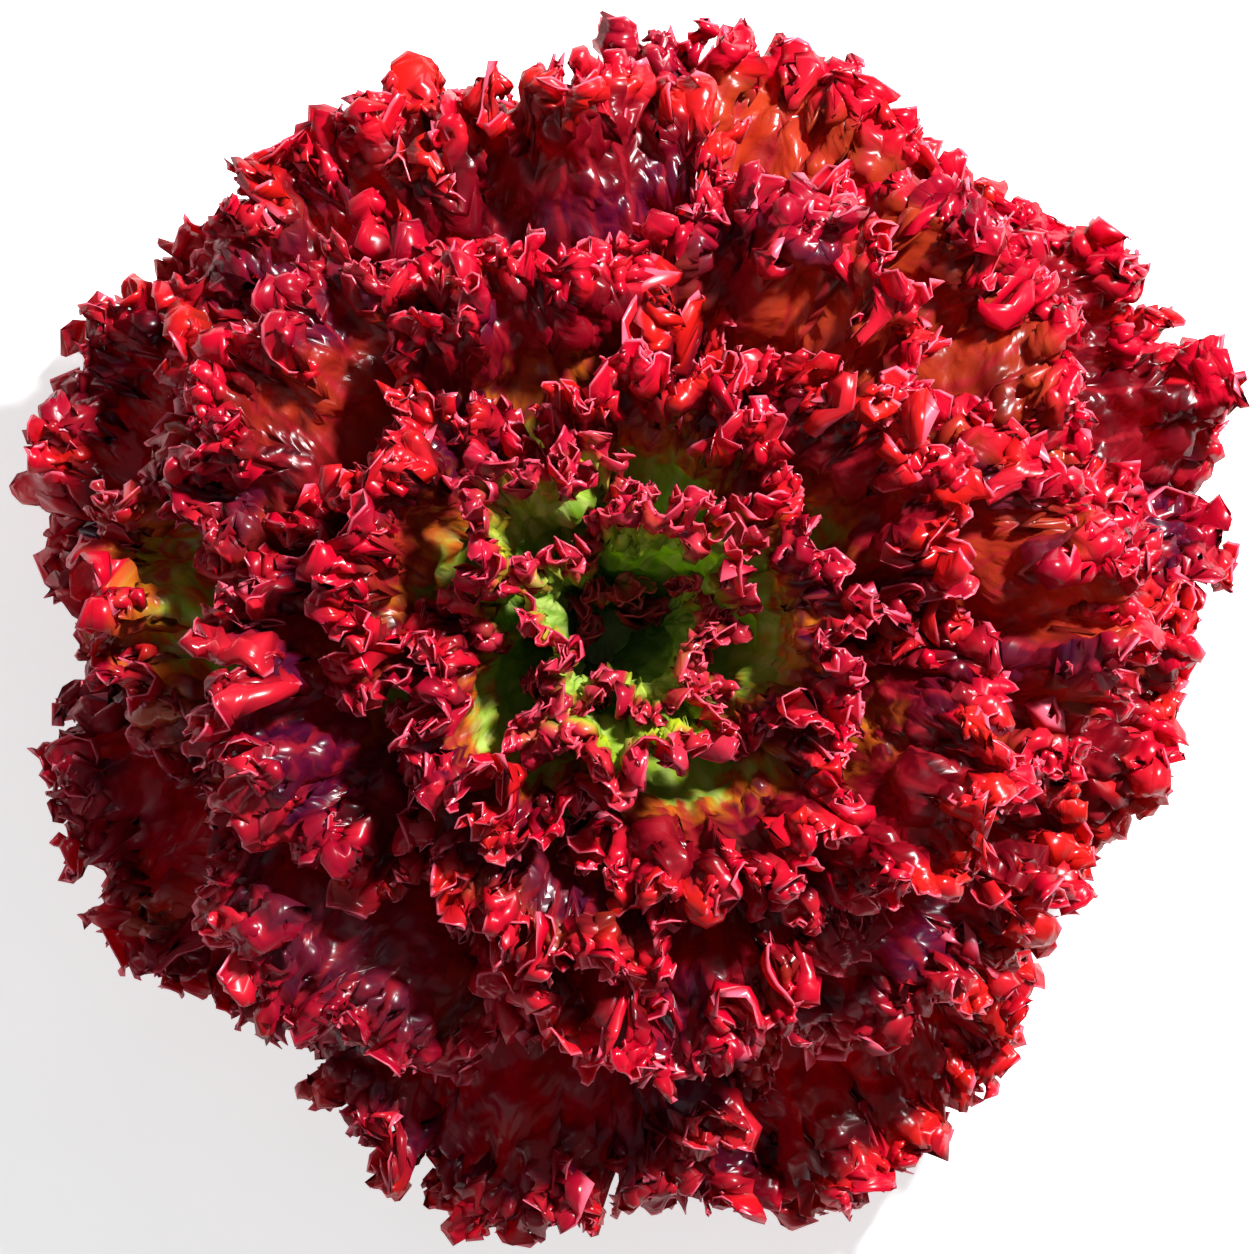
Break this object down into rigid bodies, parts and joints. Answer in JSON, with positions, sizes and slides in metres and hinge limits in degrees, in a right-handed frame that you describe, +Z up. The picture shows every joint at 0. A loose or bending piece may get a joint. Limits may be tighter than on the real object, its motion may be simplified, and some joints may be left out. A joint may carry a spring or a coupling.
{
  "type": "lollo rosso lettuce",
  "caption": "Whole cut head of red frilled leaf lettuce: ruffled burgundy leaves round a short stem with a green heart.",
  "frame": {"origin": "middle of the stem's flat cut face, which the head stands on", "axes": "+Z up along the stem towards the heart; -Y is the side at the bottom of the picture, +X its right side"},
  "size_m": [0.2839, 0.2777, 0.1228],
  "materials": {
    "red_leaf": "glossy crinkled leaf",
    "green_heart": "glossy crinkled leaf",
    "cut_stem": "moist, matt"
  },
  "bodies": {
    "root": {"stem": "cut_stem", "leaf_01": "red_leaf", "leaf_02": "red_leaf", "leaf_03": "red_leaf", "leaf_04": "red_leaf", "leaf_05": "red_leaf", "leaf_06": "red_leaf", "leaf_07": "red_leaf", "leaf_08": "red_leaf", "leaf_09": "red_leaf", "leaf_10": "red_leaf", "leaf_11": "red_leaf", "leaf_12": "red_leaf", "leaf_13": "red_leaf", "leaf_14": "red_leaf", "leaf_15": "red_leaf", "leaf_16": "red_leaf", "leaf_17": "red_leaf", "leaf_18": "red_leaf", "leaf_19": "red_leaf", "leaf_20": "red_leaf", "leaf_21": "red_leaf", "leaf_22": "red_leaf", "leaf_23": "red_leaf", "leaf_24": "red_leaf", "leaf_25": "red_leaf", "leaf_26": "red_leaf", "leaf_27": "red_leaf", "leaf_28": "green_heart", "leaf_29": "green_heart", "leaf_30": "green_heart", "leaf_31": "green_heart", "leaf_32": "green_heart", "leaf_33": "green_heart"}
  },
  "joints": []
}
